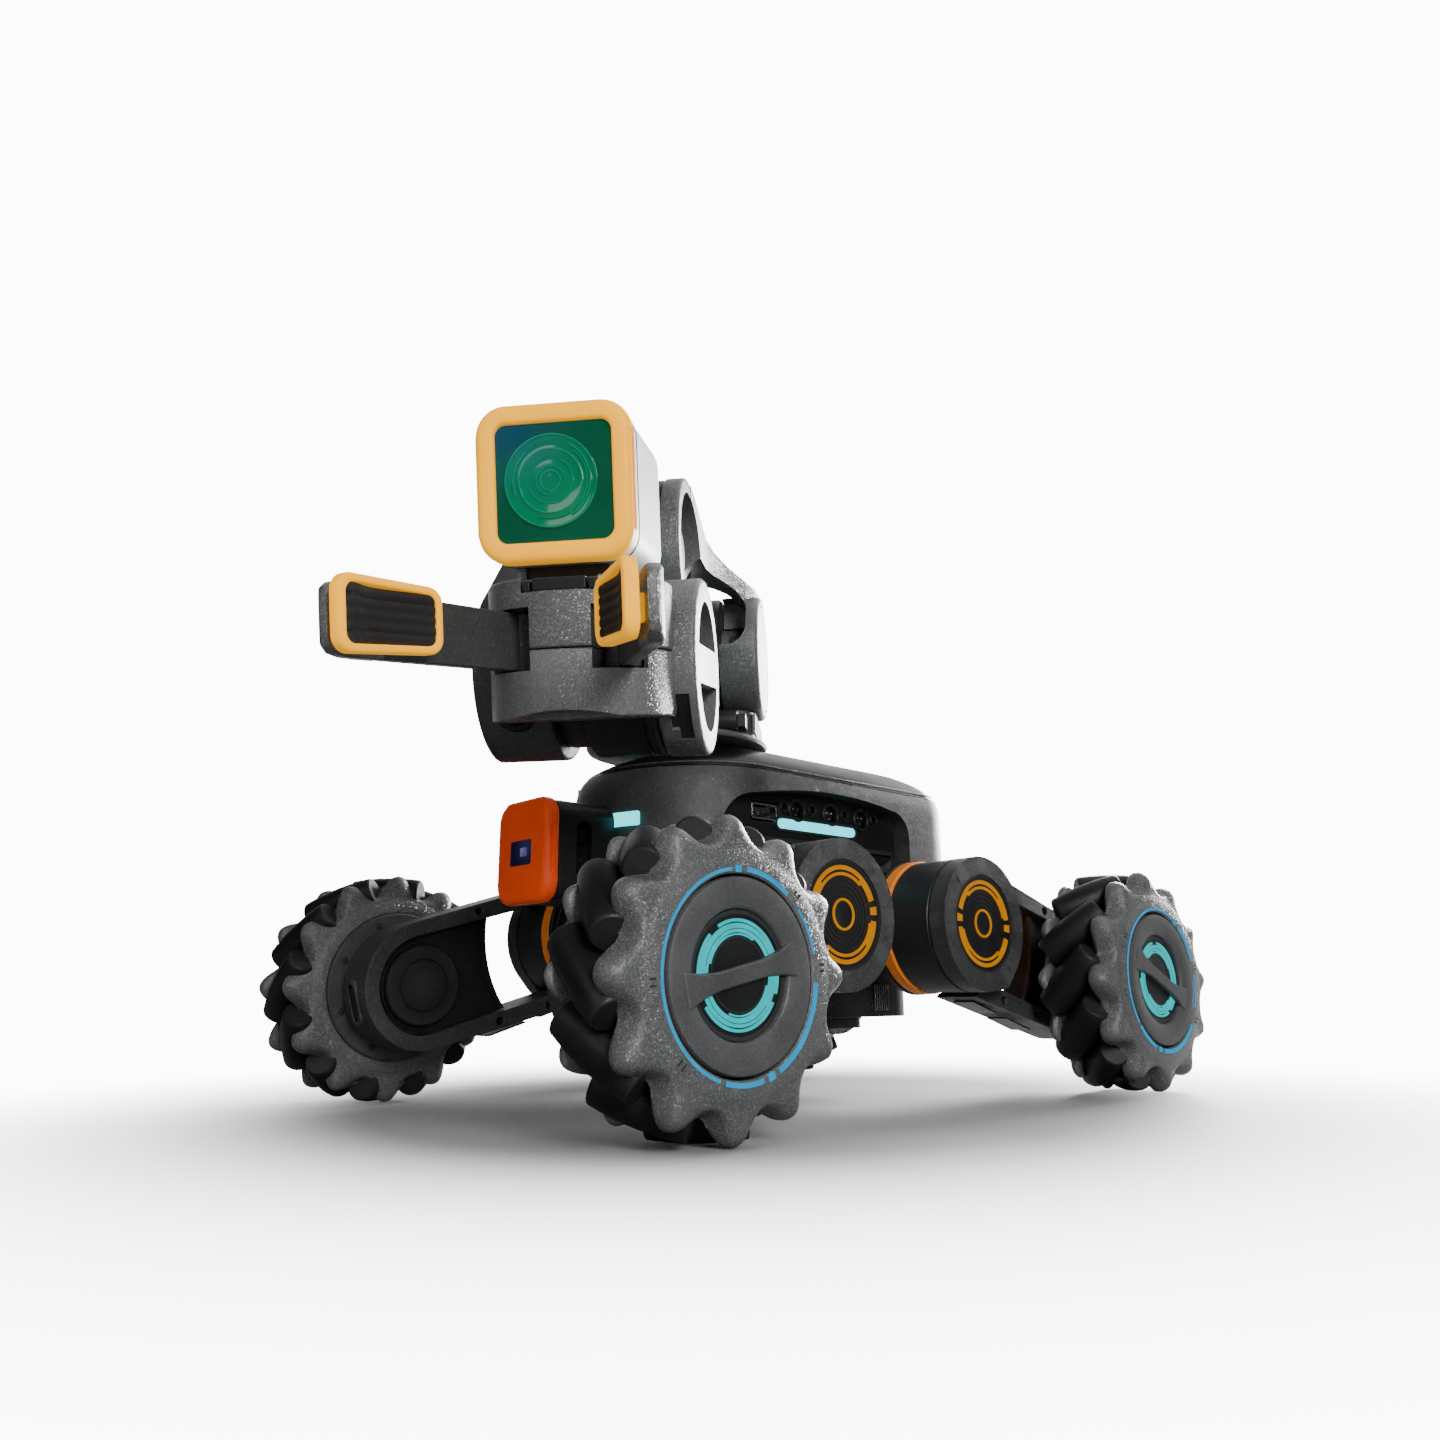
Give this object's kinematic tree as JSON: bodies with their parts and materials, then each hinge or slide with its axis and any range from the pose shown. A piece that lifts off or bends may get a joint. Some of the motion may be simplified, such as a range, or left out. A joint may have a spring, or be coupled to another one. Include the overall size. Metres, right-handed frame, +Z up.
{
  "type": "wheeled educational robot",
  "caption": "Wheeled coding robot with mecanum wheels on servo legs, a turning arm with a camera and two-finger gripper, and a range sensor in front.",
  "frame": {"origin": "centre of the flat underside of the battery pack, midway between the four wheels; the ground is 28 mm below", "axes": "+Z up, -Y towards the front (range sensor), +X towards the robot's left; right-handed"},
  "size_m": [0.3228, 0.4399, 0.2355],
  "materials": {
    "chassis_frame": "smooth satin",
    "body_shell": "fine sparkle grain, moulded",
    "top_cover": "polished",
    "port_panel_left": "smooth satin",
    "port_panel_right": "smooth satin",
    "usb_port": "plated",
    "side_light_left": "translucent diffuser, lit",
    "side_light_right": "translucent diffuser, lit",
    "front_light": "translucent diffuser, lit",
    "controller_board": "solder-masked board",
    "battery_pack": "smooth satin",
    "sensor_housing": "smooth satin",
    "sensor_cap": "satin",
    "sensor_window": "dark tinted",
    "turret_servo": "smooth satin",
    "hip_collar_front_left": "satin",
    "hip_collar_front_right": "satin",
    "hip_collar_rear_left": "satin",
    "hip_collar_rear_right": "satin",
    "power_button": "fine sparkle grain, moulded",
    "arm_base": "fine sparkle grain, moulded",
    "upper_arm_link": "fine sparkle grain, moulded",
    "shoulder_servo": "smooth satin",
    "elbow_servo": "smooth satin",
    "forearm_frame": "fine sparkle grain, moulded",
    "wrist_servo": "smooth satin",
    "gripper_lower": "fine sparkle grain, moulded",
    "gripper_upper": "fine sparkle grain, moulded",
    "camera_housing": "light grey satin",
    "camera_bezel": "satin",
    "camera_glass": "coated, green reflex",
    "finger_left": "fine sparkle grain, moulded",
    "finger_pad_left": "matt, lightly ribbed",
    "finger_right": "fine sparkle grain, moulded",
    "finger_pad_right": "matt, lightly ribbed",
    "leg_frame_front_left": "fine sparkle grain, moulded",
    "hip_servo_front_left": "smooth satin",
    "wheel_motor_front_left": "smooth satin",
    "wheel_outer_disc_front_left": "fine sparkle grain, moulded",
    "wheel_inner_disc_front_left": "fine sparkle grain, moulded",
    "wheel_rollers_front_left": "matt, lightly ribbed",
    "leg_frame_front_right": "fine sparkle grain, moulded",
    "hip_servo_front_right": "smooth satin",
    "wheel_motor_front_right": "smooth satin",
    "wheel_outer_disc_front_right": "fine sparkle grain, moulded",
    "wheel_inner_disc_front_right": "fine sparkle grain, moulded",
    "wheel_rollers_front_right": "matt, lightly ribbed",
    "leg_frame_rear_left": "fine sparkle grain, moulded",
    "hip_servo_rear_left": "smooth satin",
    "wheel_motor_rear_left": "smooth satin",
    "wheel_outer_disc_rear_left": "fine sparkle grain, moulded",
    "wheel_inner_disc_rear_left": "fine sparkle grain, moulded",
    "wheel_rollers_rear_left": "matt, lightly ribbed",
    "leg_frame_rear_right": "fine sparkle grain, moulded",
    "hip_servo_rear_right": "smooth satin",
    "wheel_motor_rear_right": "smooth satin",
    "wheel_outer_disc_rear_right": "fine sparkle grain, moulded",
    "wheel_inner_disc_rear_right": "fine sparkle grain, moulded",
    "wheel_rollers_rear_right": "matt, lightly ribbed"
  },
  "bodies": {
    "chassis": {"chassis_frame": "chassis_frame", "body_shell": "body_shell", "top_cover": "top_cover", "port_panel_left": "port_panel_left", "port_panel_right": "port_panel_right", "usb_port": "usb_port", "side_light_left": "side_light_left", "side_light_right": "side_light_right", "front_light": "front_light", "controller_board": "controller_board", "battery_pack": "battery_pack", "sensor_housing": "sensor_housing", "sensor_cap": "sensor_cap", "sensor_window": "sensor_window", "turret_servo": "turret_servo", "hip_collar_front_left": "hip_collar_front_left", "hip_collar_front_right": "hip_collar_front_right", "hip_collar_rear_left": "hip_collar_rear_left", "hip_collar_rear_right": "hip_collar_rear_right"},
    "power_button": {"power_button": "power_button"},
    "turret": {"arm_base": "arm_base"},
    "upper_arm": {"upper_arm_link": "upper_arm_link", "shoulder_servo": "shoulder_servo", "elbow_servo": "elbow_servo"},
    "forearm": {"forearm_frame": "forearm_frame"},
    "gripper": {"wrist_servo": "wrist_servo", "gripper_lower": "gripper_lower", "gripper_upper": "gripper_upper", "camera_housing": "camera_housing", "camera_bezel": "camera_bezel", "camera_glass": "camera_glass"},
    "finger_left": {"finger_left": "finger_left", "finger_pad_left": "finger_pad_left"},
    "finger_right": {"finger_right": "finger_right", "finger_pad_right": "finger_pad_right"},
    "leg_front_left": {"leg_frame_front_left": "leg_frame_front_left", "hip_servo_front_left": "hip_servo_front_left", "wheel_motor_front_left": "wheel_motor_front_left"},
    "wheel_front_left": {"wheel_outer_disc_front_left": "wheel_outer_disc_front_left", "wheel_inner_disc_front_left": "wheel_inner_disc_front_left", "wheel_rollers_front_left": "wheel_rollers_front_left"},
    "leg_front_right": {"leg_frame_front_right": "leg_frame_front_right", "hip_servo_front_right": "hip_servo_front_right", "wheel_motor_front_right": "wheel_motor_front_right"},
    "wheel_front_right": {"wheel_outer_disc_front_right": "wheel_outer_disc_front_right", "wheel_inner_disc_front_right": "wheel_inner_disc_front_right", "wheel_rollers_front_right": "wheel_rollers_front_right"},
    "leg_rear_left": {"leg_frame_rear_left": "leg_frame_rear_left", "hip_servo_rear_left": "hip_servo_rear_left", "wheel_motor_rear_left": "wheel_motor_rear_left"},
    "wheel_rear_left": {"wheel_outer_disc_rear_left": "wheel_outer_disc_rear_left", "wheel_inner_disc_rear_left": "wheel_inner_disc_rear_left", "wheel_rollers_rear_left": "wheel_rollers_rear_left"},
    "leg_rear_right": {"leg_frame_rear_right": "leg_frame_rear_right", "hip_servo_rear_right": "hip_servo_rear_right", "wheel_motor_rear_right": "wheel_motor_rear_right"},
    "wheel_rear_right": {"wheel_outer_disc_rear_right": "wheel_outer_disc_rear_right", "wheel_inner_disc_rear_right": "wheel_inner_disc_rear_right", "wheel_rollers_rear_right": "wheel_rollers_rear_right"}
  },
  "joints": [
    {"name": "hip_front_left", "type": "hinge", "parent": "chassis", "child": "leg_front_left", "pos_m": [0.058, -0.044, 0.043], "axis": [-1, 0, 0], "range_deg": [-35, 10]},
    {"name": "axle_front_left", "type": "hinge", "parent": "leg_front_left", "child": "wheel_front_left", "pos_m": [0.092, -0.1275, 0.02], "axis": [1, 0, 0], "continuous": true},
    {"name": "hip_front_right", "type": "hinge", "parent": "chassis", "child": "leg_front_right", "pos_m": [-0.058, -0.044, 0.043], "axis": [-1, 0, 0], "range_deg": [-35, 10]},
    {"name": "axle_front_right", "type": "hinge", "parent": "leg_front_right", "child": "wheel_front_right", "pos_m": [-0.092, -0.1275, 0.02], "axis": [1, 0, 0], "continuous": true},
    {"name": "hip_rear_left", "type": "hinge", "parent": "chassis", "child": "leg_rear_left", "pos_m": [0.058, 0.044, 0.043], "axis": [1, 0, 0], "range_deg": [-35, 10]},
    {"name": "axle_rear_left", "type": "hinge", "parent": "leg_rear_left", "child": "wheel_rear_left", "pos_m": [0.092, 0.1275, 0.02], "axis": [1, 0, 0], "continuous": true},
    {"name": "hip_rear_right", "type": "hinge", "parent": "chassis", "child": "leg_rear_right", "pos_m": [-0.058, 0.044, 0.043], "axis": [1, 0, 0], "range_deg": [-35, 10]},
    {"name": "axle_rear_right", "type": "hinge", "parent": "leg_rear_right", "child": "wheel_rear_right", "pos_m": [-0.092, 0.1275, 0.02], "axis": [1, 0, 0], "continuous": true},
    {"name": "arm_turn", "type": "hinge", "parent": "chassis", "child": "turret", "pos_m": [0, -0.046, 0.118], "axis": [0, 0, 1], "range_deg": [-130, 45]},
    {"name": "shoulder", "type": "hinge", "parent": "turret", "child": "upper_arm", "pos_m": [0, -0.046, 0.161], "axis": [-0.7593, -0.6508, 0], "range_deg": [-4, 60]},
    {"name": "elbow", "type": "hinge", "parent": "upper_arm", "child": "forearm", "pos_m": [0.0531, -0.10796, 0.1795], "axis": [-0.7593, -0.6508, 0], "range_deg": [-6, 55]},
    {"name": "wrist", "type": "hinge", "parent": "forearm", "child": "gripper", "pos_m": [0.09085, -0.15199, 0.1151], "axis": [-0.7593, -0.6508, 0], "range_deg": [-40, 35]},
    {"name": "finger_left_swing", "type": "hinge", "parent": "gripper", "child": "finger_left", "pos_m": [0.12784, -0.17288, 0.10581], "axis": [0.1475, -0.1721, 0.974], "range_deg": [-20, 20]},
    {"name": "finger_right_swing", "type": "hinge", "parent": "gripper", "child": "finger_right", "pos_m": [0.10583, -0.19175, 0.10581], "axis": [-0.1475, 0.1721, -0.974], "range_deg": [-20, 20]},
    {"name": "power_press", "type": "slide", "parent": "chassis", "child": "power_button", "axis": [0, 0, -1], "range_m": [0, 0.0015], "stiffness_N_per_m": 300, "springref_m": -0.001}
  ],
  "couplings": [
    {"joint": "finger_right_swing", "follows": "finger_left_swing", "ratio": 1}
  ]
}
